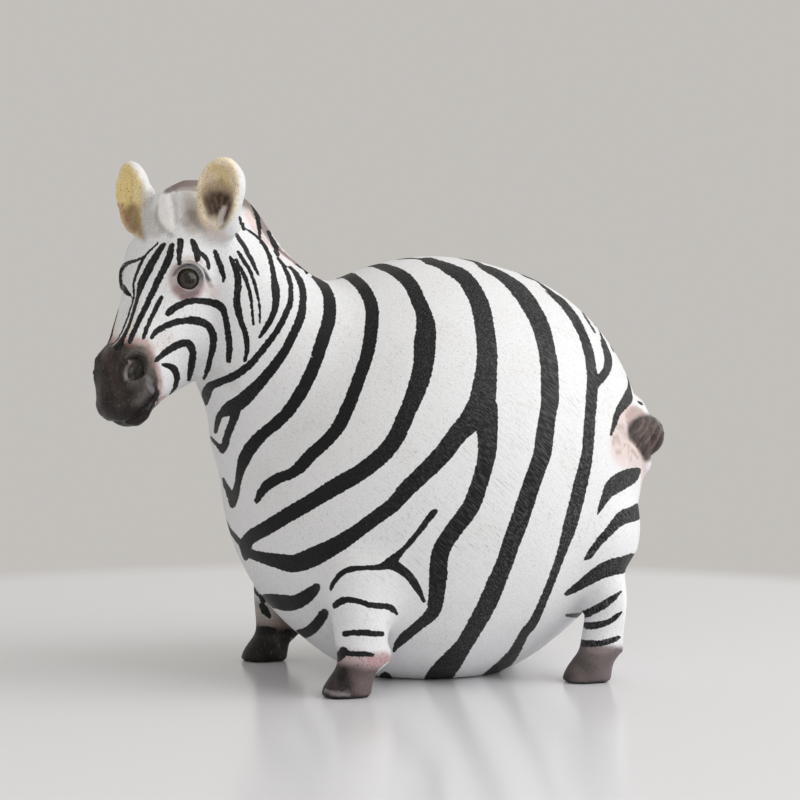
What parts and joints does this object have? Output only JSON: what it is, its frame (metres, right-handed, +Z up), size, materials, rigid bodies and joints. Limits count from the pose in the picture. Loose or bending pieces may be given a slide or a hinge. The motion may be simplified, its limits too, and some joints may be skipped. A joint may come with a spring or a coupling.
{
  "type": "zebra figurine",
  "caption": "Ornament in the form of a fat zebra with a ball-shaped body, short legs and its head turned to its left, painted white with black stripes.",
  "frame": {"origin": "on the ground, at the centre of the bounding box's bottom", "axes": "+Z up; the zebra faces -X, and its left side faces -Y"},
  "size_m": [0.2066, 0.1272, 0.1787],
  "materials": {
    "painted_resin": "hand-painted, white with black stripes, satin"
  },
  "bodies": {
    "root": {"zebra": "painted_resin"}
  },
  "joints": []
}
